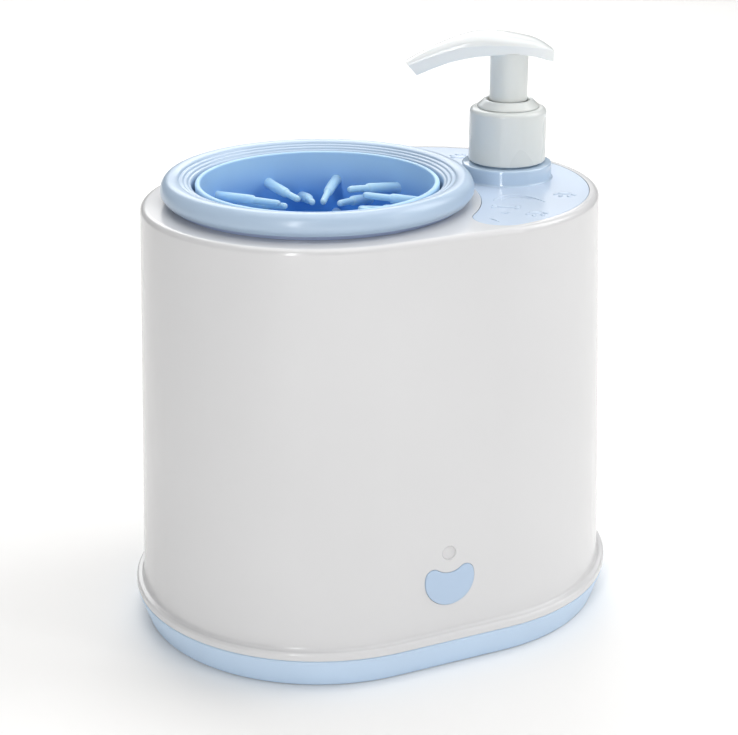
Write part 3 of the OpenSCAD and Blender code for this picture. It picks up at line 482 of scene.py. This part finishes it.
def ridge(V, F, pts, r, h, n=8):
    """A raised line that follows plan points."""
    m = len(pts); base = len(V)
    for i, (x, y) in enumerate(pts):
        a, b = pts[max(i - 1, 0)], pts[min(i + 1, m - 1)]
        t = Vector((b[0] - a[0], b[1] - a[1])).normalized(); nx, ny = -t.y, t.x
        taper = min(1.0, 0.35 + 3.0 * min(i, m - 1 - i) / m)
        for j in range(n + 1):
            q = PI * j / n
            V.append((x + nx * r * taper * math.cos(q), y + ny * r * taper * math.cos(q), DECK_Z - 0.1 + (h + 0.1) * math.sin(q) * taper))
    w = n + 1
    for i in range(m - 1):
        for j in range(n): F.append((base + i * w + j, base + i * w + j + 1, base + (i + 1) * w + j + 1, base + (i + 1) * w + j))
        F.append((base + i * w + n, base + i * w, base + (i + 1) * w, base + (i + 1) * w + n))
    F.append(tuple(base + j for j in range(w))); F.append(tuple(base + (m - 1) * w + j for j in reversed(range(w))))

def bez(a, b, c, d, n):
    out = []
    for i in range(n):
        t = i / (n - 1); u = 1 - t
        out.append(tuple(u ** 3 * a[k] + 3 * u * u * t * b[k] + 3 * u * t * t * c[k] + t ** 3 * d[k] for k in (0, 1)))
    return out

def build_tank_top():
    slab = prism("slab", panel_pts(0), 182, DECK_Z)
    v, f = revolve_vf([(0, 170), (11, 170), (11, 220), (0, 220)], 96, PUMP_X); c = obj_from("c", v, f); fix_normals(c)
    boolean(slab, c)
    bevel(slab, 0.45, 4, 50)
    smooth(slab, 30)
    low = prism("low", panel_pts(-5.6), 178, 182.1)
    boolean(low, prism("c", panel_pts(-7.4), 170, 180))
    v, f = revolve_vf([(0, 170), (11, 170), (11, 220), (0, 220)], 96, PUMP_X); c = obj_from("c", v, f); fix_normals(c); boolean(low, c)
    smooth(low, 30)
    prof = [(11, 182.2), (19.6, 183.9), (20.0, DECK_Z + 0.02), (19.75, DECK_Z + 0.14), (19.48, DECK_Z + 0.4), (19.34, DECK_Z + 0.8), (19.3, 186.4)]
    prof += [(18.5 + 0.8 * math.cos(math.radians(a)), 190.2 + 0.8 * math.sin(math.radians(a))) for a in range(0, 91, 15)]
    prof += [(14.6, 191.0), (14.1, 191.1), (13.8, 191.5), (13.8, 193)]
    for z in (196, 200.2, 204.4):     # thread turns, drawn as rings
        prof += [(13.5, z), (13.85, z + 0.5), (13.85, z + 1.3), (13.5, z + 1.8)]
    prof += [(13.5, 210.8), (13.1, 211.4), (12.6, 211.5), (11.4, 211.5), (11.0, 211.1)]
    boss = revolve("boss", prof, 160, PUMP_X, 0, 38)
    boss.data.materials.append(M["blue_boss"])
    V, F = [], []
    paw(V, F, 71.5, -36.5, 150, 1.25, 0.6)
    paw(V, F, 46.0, -56.5, 165, 1.25, 0.6)
    paw(V, F, 84.5, 14, 250, 1.2, 0.6)
    paw(V, F, 62, 38, 20, 1.2, 0.6)
    paw(V, F, 43, 47, -20, 1.0, 0.6)
    ridge(V, F, bez((39.6, -33.2), (46.5, -25.8), (57.0, -29.5), (57.4, -44.5), 44), 0.8, 0.62)
    ridge(V, F, bez((42.0, -34.6), (47.0, -29.6), (53.2, -31.5), (54.6, -39.0), 30), 0.45, 0.4)
    ridge(V, F, bez((24.6, -56.5), (27.0, -58.5), (25.2, -60.0), (26.6, -62.0), 16), 0.6, 0.5)
    ridge(V, F, bez((33.2, -50.6), (34.2, -53.2), (36.2, -52.8), (36.4, -50.9), 14), 0.5, 0.5)
    # bone
    bx, by = 39.2, -44.4
    brt = math.degrees(math.atan2(-4.9, 7.2)); c_, s_ = math.cos(math.radians(brt)), math.sin(math.radians(brt))
    ridge(V, F, [(bx + c_ * t, by + s_ * t) for t in np.linspace(-4.2, 4.2, 12)], 1.1, 0.6)
    for sx in (-1, 1):
        for sy in (-1, 1):
            px, py = sx * 4.7, sy * 1.15
            add(V, F, dome(bx + c_ * px - s_ * py, by + s_ * px + c_ * py, 1.35, 1.35, 0, 0.6))
    marks = obj_from("marks", V, F); fix_normals(marks); smooth(marks, 60)
    for o in (slab, low, marks): o.data.materials.append(M["blue_panel"])
    for o in (slab, low, marks):
        o.data.attributes.get("sharp_edge")
    place(slab, "tank", "blue_panel", ["tank_top"]); weighted(slab)
    for o, s in ((low, "blue_panel"), (marks, "blue_panel"), (boss, "blue_panel")):
        place(o, "tank", None)
    boss.name = "tank_boss"; marks.name = "tank_marks"; low.name = "tank_rib"; slab.name = "tank_panel"
build_tank_top()

# ------------------------------------------------------------------ lotion pump
def build_pump():
    R = 16.5
    prof = [(14.3, 192.0), (14.6, 191.9), (16.0, 191.9), (16.3, 192.0), (16.47, 192.3), (R, 192.8), (R - 0.03, 200), (R - 0.06, 210.6)]
    rr = 2.1
    prof += [(R - 0.08 - rr + rr * math.cos(math.radians(a)), 212.7 + rr * math.sin(math.radians(a))) for a in np.linspace(0, 86, 12)]
    prof += [(13.7, 214.85), (10.9, 214.85), (10.7, 214.7), (10.7, 213.9), (10.9, 213.8), (14.1, 213.8), (14.3, 213.6)]
    ob = revolve("collar_shell", prof, 160, PUMP_X, 0, 35); weighted(ob)
    place(ob, "collar", "pump_white", ["pump_collar"])
    prof = [(8.45, 213.8), (8.6, 213.7), (10.1, 213.7), (10.2, 213.8), (10.2, 215.0), (13.1, 214.95), (13.28, 215.0), (13.3, 215.15), (13.22, 215.5), (12.95, 215.85),
            (12.2, 216.5), (11.0, 217.55), (10.55, 217.95), (10.1, 218.2), (9.7, 218.25), (9.3, 218.1), (9.0, 217.75), (8.75, 217.3), (8.55, 216.9), (8.45, 216.4)]
    ob = revolve("chaplet_shell", prof, 144, PUMP_X, 0, 38); weighted(ob)
    place(ob, "pump", "pump_white", ["pump_chaplet"])
    prof = [(6.5, 218.1), (6.8, 217.8), (7.6, 217.8), (7.95, 217.95), (8.05, 218.3), (8.05, 228), (8.05, 236.6), (8.15, 237.4), (8.3, 238.0), (8.3, 238.38), (3.05, 238.4), (3.05, 224), (4.6, 224), (4.6, 236.6), (6.5, 236.6)]
    ob = revolve("skirt_shell", prof, 128, PUMP_X, 0, 38); weighted(ob)
    place(ob, "head", "pump_white", ["pump_skirt"])

HEAD = [[-18.6, 4.4, 238.7, 239.1, 234], [-15, 6.4, 240.2, 241.7, 235.3], [-10, 8, 241.1, 244.1, 236.9], [-5, 8.9, 241.7, 245.4, 237.7],
    [0, 9.3, 242.2, 246.4, 237.9], [5, 9.2, 242.5, 247.1, 237.9], [10, 8.7, 242.6, 247.3, 237.7], [15, 7.9, 242.2, 246.9, 237.2],
    [20, 7.1, 241.6, 245.8, 236.3], [25, 6.2, 240.4, 244.2, 235.1], [30, 5.4, 238.8, 242.2, 233.4], [34, 4.8, 237.4, 240.5, 231.8],
    [37.5, 4.4, 236.1, 238.8, 230.3], [44.9, 3.7, 233.2, 234.7, 227.6]]
def build_head():
    T = np.array(HEAD, float)
    from_s = T[:, 0]
    # smooth curves through the table
    def curve(col, s):
        y = T[:, col]; x = from_s
        m = np.gradient(y, x)
        i = int(np.clip(np.searchsorted(x, s) - 1, 0, len(x) - 2)); h = x[i + 1] - x[i]; t = (s - x[i]) / h
        return ((2 * t ** 3 - 3 * t ** 2 + 1) * y[i] + (t ** 3 - 2 * t ** 2 + t) * h * m[i] + (-2 * t ** 3 + 3 * t ** 2) * y[i + 1] + (t ** 3 - t ** 2) * h * m[i + 1])
    ss = list(np.linspace(-18.6, 44.9, 72))
    def ring(s, shrink=0.0):
        w, ze, zr, zb = (curve(c, s) for c in (1, 2, 3, 4))
        w -= shrink; ze -= shrink * 0.6; zr -= shrink; zb += shrink
        q = min(0.9, 0.22 * w)
        pts = []
        wb = w * 0.86
        for a in np.linspace(-90, 0, 5): pts.append((wb - q + q * math.cos(math.radians(a)), zb + q + q * math.sin(math.radians(a))))
        for t in (0.3, 0.6, 0.85): pts.append((wb + (w - wb) * t, zb + q + (ze - zb - q) * t))
        pts.append((w, ze - 0.28)); pts.append((w + 0.02, ze - 0.08)); pts.append((w - 0.12, ze + 0.1))
        for a in np.linspace(8, 82, 10):
            pts.append(((w - 0.1) * math.cos(math.radians(a)) , ze + (zr - ze) * math.sin(math.radians(a))))
        full = [(t, z) for t, z in pts] + [(0.0, zr)] + [(-t, z) for t, z in reversed(pts)] + [(0.0, zb)]
        return full
    V, F = [], []
    L = None
    def put(s, pts, slant):
        base = len(V)
        zt = curve(3, s)
        for t, z in pts: V.append((s - (zt - z) * slant, t, z))
        return base
    rows = []
    # rear end: small rounding
    for ds, sh in ((0.0, 0.8), (0.08, 0.45), (0.28, 0.18), (0.6, 0.04)):
        rows.append(put(-18.6 + ds, ring(-18.6 + ds, sh), 0.0))
    for s in ss[1:]:
        rows.append(put(s, ring(s), 0.0))
    L = len(ring(0))
    for a, b in zip(rows, rows[1:]):
        for j in range(L):
            j2 = (j + 1) % L
            F.append((a + j, a + j2, b + j2, b + j))
    F.append(tuple(rows[0] + j for j in reversed(range(L)))); F.append(tuple(rows[-1] + j for j in range(L)))
    ob = obj_from("head_shell", V, F); fix_normals(ob)
    # the spout is cut off at a slant
    bm = bmesh.new(); bm.from_mesh(ob.data)
    a0 = Vector((44.4, 0, 234.9)) * MM; b0 = Vector((39.6, 0, 229.3)) * MM
    d = (a0 - b0).normalized(); nrm = Vector((d.z, 0, -d.x))
    cut = bmesh.ops.bisect_plane(bm, geom=bm.verts[:] + bm.edges[:] + bm.faces[:], dist=1e-7, plane_co=a0, plane_no=nrm, clear_outer=True)
    bmesh.ops.holes_fill(bm, edges=[e for e in bm.edges if e.is_boundary], sides=0)
    bmesh.ops.recalc_face_normals(bm, faces=bm.faces)
    bm.to_mesh(ob.data); bm.free()
    # spout bore in the slanted end
    v, f = revolve_vf([(0, -7), (1.55, -7), (1.55, 3), (0, 3)], 40); c = obj_from("sp", v, f); fix_normals(c)
    ang = math.atan2(5.4, 6.9)
    c.data.transform(Matrix.Translation((41.9 * MM, 0, 232.1 * MM)) @ Matrix.Rotation(PI / 2 + math.radians(33), 4, "Y"))
    boolean(ob, c)
    ob.data.transform(Matrix.Translation((PUMP_X * MM, 0, 0)) @ Matrix.Rotation(math.radians(160), 4, "Z")); ob.data.update()
    smooth(ob, 42)
    ob.data.materials.append(M["pump_top"])
    return place(ob, "head", None, ["pump_head"])
build_pump(); build_head()

# ------------------------------------------------------------------ button and lamp window
def build_button():
    V, F = [], []
    rows = [(-4.0, 0.0), (-0.1, 0.0), (0.16, -0.03), (0.34, -0.12), (0.48, -0.3), (0.56, -0.55), (0.62, -0.95), (0.68, -1.7), (0.74, -2.6), (0.78, -3.3)]
    L = len(button_pts(0))
    for z, g in rows:
        V += [(x, y, z) for x, y in dedupe_fixed(g, L)]
    for i in range(len(rows) - 1):
        for j in range(L):
            j2 = (j + 1) % L
            F.append((i * L + j, i * L + j2, (i + 1) * L + j2, (i + 1) * L + j))
    F.append(tuple(range(L - 1, -1, -1))); F.append(tuple((len(rows) - 1) * L + j for j in range(L)))
    ob = obj_from("button_cap", V, F); fix_normals(ob); on_front(ob, *BTN); smooth(ob, 40); weighted(ob)
    place(ob, "button", "blue_button", ["power_button"])
    v, f = revolve_vf([(0, -6.2), (1.6, -6.2), (1.6, -4.0), (0, -4.0)], 32)
    st = obj_from("button_stem", v, f); fix_normals(st); on_front(st, *BTN); smooth(st, 40)
    place(st, "button", "blue_button")
def dedupe_fixed(g, L):
    base = button_pts(0)
    # offset every point along its own outline normal, so all rows match one to one
    n = len(base); out = []
    for i, (x, y) in enumerate(base):
        x0, y0 = base[i - 1]; x1, y1 = base[(i + 1) % n]
        tx, ty = x1 - x0, y1 - y0; l = math.hypot(tx, ty)
        out.append((x + g * ty / l, y - g * tx / l))
    return out
build_button()
lens_prof = [(0, -3.0), (2.94, -3.0), (2.94, -0.74), (2.86, -0.66), (2.6, -0.58), (1.9, -0.5), (1.0, -0.44), (0, -0.42)]
lens = revolve("lamp_window", lens_prof, 64, 0, 0, 40); on_front(lens, *LED)
place(lens, "housing", "lens", ["led_lens"])

# ------------------------------------------------------------------ charging flap
flap = boxo("flap_plate", (-8.3, 77.05, 24.2), (8.3, 78.3, 36.8)); bevel(flap, 0.4, 3)
plug = boxo("flap_plug", (-3.8, 75.4, 28.5), (3.8, 77.2, 30.9)); bevel(plug, 0.3, 2)
v, f = revolve_vf([(0.85, -8.3), (1.19, -8.3), (1.19, 8.3), (0.85, 8.3)], 32); kn = obj_from("flap_knuckle", v, f); fix_normals(kn)
kn.data.transform(Matrix.Translation((0, 77.75 * MM, 23.6 * MM)) @ Matrix.Rotation(PI / 2, 4, "Y")); smooth(kn, 40)
smooth(flap, 35); smooth(plug, 35); weighted(flap)
place(flap, "flap", "white_rubber", ["port_cover"]); place(plug, "flap", "white_rubber"); place(kn, "flap", "white_rubber")
for i in range(3):
    g = boxo("flap_rib%d" % i, (-2.6, 78.25, 33.6 + i * 1.0), (2.6, 78.55, 34.1 + i * 1.0)); bevel(g, 0.12, 2); smooth(g, 35); place(g, "flap", "white_rubber")

# ------------------------------------------------------------------ floor, light, camera
fl = obj_from("floor", [(-6, -6, 0), (6, -6, 0), (6, 6, 0), (-6, 6, 0)], [(0, 1, 2, 3)], 1.0)
fm = plastic("floor_pale", (0.975, 0.968, 0.955), rough=(0.5, 0.6), var=0.004, grain=0.0, mottle=2.0, spec=0.2)
fb = [n for n in fm.node_tree.nodes if n.type == "BSDF_PRINCIPLED"][0]
fb.inputs["Emission Color"].default_value = (1, 1, 1, 1); fb.inputs["Emission Strength"].default_value = 0.0
fl.data.materials.append(fm)

w = bpy.data.worlds.new("studio"); bpy.context.scene.world = w; w.use_nodes = True
bg = w.node_tree.nodes["Background"]; bg.inputs[0].default_value = (1, 1, 1, 1); bg.inputs[1].default_value = 0.115

def area(name, loc, target, size, power, col=(1, 1, 1), size_y=None):
    d = bpy.data.lights.new(name, "AREA"); d.energy = power; d.color = col; d.size = size
    if size_y: d.shape = "RECTANGLE"; d.size_y = size_y
    o = bpy.data.objects.new(name, d); bpy.context.scene.collection.objects.link(o)
    o.location = loc; o.rotation_mode = "QUATERNION"
    o.rotation_quaternion = (Vector(target) - Vector(loc)).to_track_quat("-Z", "Y")
    return o
def around(az, dist, h): a = math.radians(az); return (math.sin(a) * dist, -math.cos(a) * dist, h)
MID = (0, 0, 0.1)
area("top", (0.1, 0.1, 1.8), MID, 1.8, 19.2)
area("back", around(165, 1.6, 1.3), MID, 1.4, 11.3)
area("key", around(75, 1.5, 1.3), MID, 1.0, 12.2)
area("far", (0.75, 2.1, 1.3), (0.75, 2.1, 0), 2.2, 16)
area("low", around(-15, 1.0, 0.12), (0, 0, 0.06), 0.9, 1.0, size_y=0.2)
area("strip_left", around(-41, 1.5, 0.75), (0, 0, 0.15), 0.16, 7.6, size_y=1.1)
area("strip_right", around(37, 1.5, 0.75), (0, 0, 0.15), 0.16, 2.6, size_y=1.1)

az, el, dist = math.radians(-25.04), math.radians(21.07), 0.7776
back = Vector((math.sin(az) * math.cos(el), -math.cos(az) * math.cos(el), math.sin(el)))
cd = bpy.data.cameras.new("cam"); cam = bpy.data.objects.new("cam", cd); bpy.context.scene.collection.objects.link(cam)
cam.rotation_mode = "QUATERNION"
cam.location = Vector((0, 0, 0.1)) + back * dist
cam.rotation_quaternion = (-back).to_track_quat("-Z", "Y") @ Matrix.Rotation(math.radians(-0.11), 4, "Z").to_quaternion()
cd.sensor_width = 36.0; cd.lens = 1783.2 / 738 * 36.0
cd.shift_x = -3.87 / 738; cd.shift_y = 12.62 / 738
cd.clip_start = 0.01; cd.clip_end = 50
bpy.context.scene.camera = cam
bpy.context.scene.view_settings.view_transform = "Standard"
bpy.context.scene.view_settings.look = "None"
bpy.context.scene.view_settings.exposure = 0.0
bpy.context.scene.view_settings.gamma = 1.0
